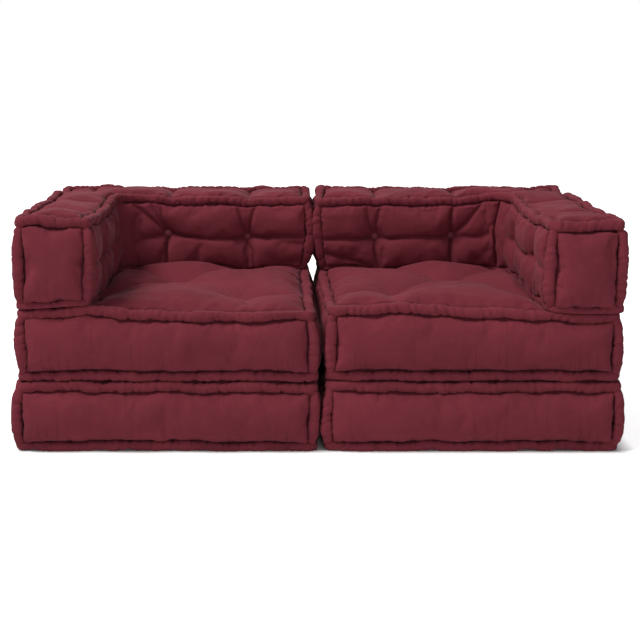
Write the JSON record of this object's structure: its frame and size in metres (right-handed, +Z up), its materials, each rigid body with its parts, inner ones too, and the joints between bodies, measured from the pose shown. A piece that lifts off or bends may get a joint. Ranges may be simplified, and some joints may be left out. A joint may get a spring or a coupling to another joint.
{
  "type": "modular floor sofa",
  "caption": "Low sofa of mirrored corner modules, each a stack of loose tufted mattress cushions under an L-shaped back and arm cushion.",
  "frame": {"origin": "on the floor, at the middle of the sofa's width and depth", "axes": "+X to the right along the sofa's width, +Y towards the back, +Z up; the seat's open front faces -Y"},
  "size_m": [1.426, 0.7158, 0.5486],
  "materials": {
    "cover_cotton": "matte",
    "edge_roll_cotton": "matte",
    "button_cotton": "matte",
    "tufting_twine": "matte",
    "cotton_filling": "matte"
  },
  "bodies": {
    "left_base": {"left_base_cover": "cover_cotton", "left_base_filling": "cotton_filling", "left_base_edge_roll": "edge_roll_cotton", "left_base_buttons": "button_cotton", "left_base_twine": "tufting_twine"},
    "left_seat": {"left_seat_cover": "cover_cotton", "left_seat_filling": "cotton_filling", "left_seat_edge_roll": "edge_roll_cotton", "left_seat_buttons": "button_cotton", "left_seat_twine": "tufting_twine"},
    "left_back": {"left_back_cover": "cover_cotton", "left_back_filling": "cotton_filling", "left_arm_filling": "cotton_filling", "left_back_edge_roll": "edge_roll_cotton", "left_back_buttons": "button_cotton", "left_back_twine": "tufting_twine"},
    "right_base": {"right_base_cover": "cover_cotton", "right_base_filling": "cotton_filling", "right_base_edge_roll": "edge_roll_cotton", "right_base_buttons": "button_cotton", "right_base_twine": "tufting_twine"},
    "right_seat": {"right_seat_cover": "cover_cotton", "right_seat_filling": "cotton_filling", "right_seat_edge_roll": "edge_roll_cotton", "right_seat_buttons": "button_cotton", "right_seat_twine": "tufting_twine"},
    "right_back": {"right_back_cover": "cover_cotton", "right_back_filling": "cotton_filling", "right_arm_filling": "cotton_filling", "right_back_edge_roll": "edge_roll_cotton", "right_back_buttons": "button_cotton", "right_back_twine": "tufting_twine"}
  },
  "joints": [
    {"name": "left_seat_lift", "type": "slide", "parent": "left_base", "child": "left_seat", "axis": [0, 0, 1], "range_m": [0, 0.4]},
    {"name": "left_back_lift", "type": "slide", "parent": "left_seat", "child": "left_back", "axis": [0, 0, 1], "range_m": [0, 0.25]},
    {"name": "right_module_slide", "type": "slide", "parent": "left_base", "child": "right_base", "axis": [1, 0, 0], "range_m": [0, 0.8]},
    {"name": "right_seat_lift", "type": "slide", "parent": "right_base", "child": "right_seat", "axis": [0, 0, 1], "range_m": [0, 0.4]},
    {"name": "right_back_lift", "type": "slide", "parent": "right_seat", "child": "right_back", "axis": [0, 0, 1], "range_m": [0, 0.25]}
  ]
}
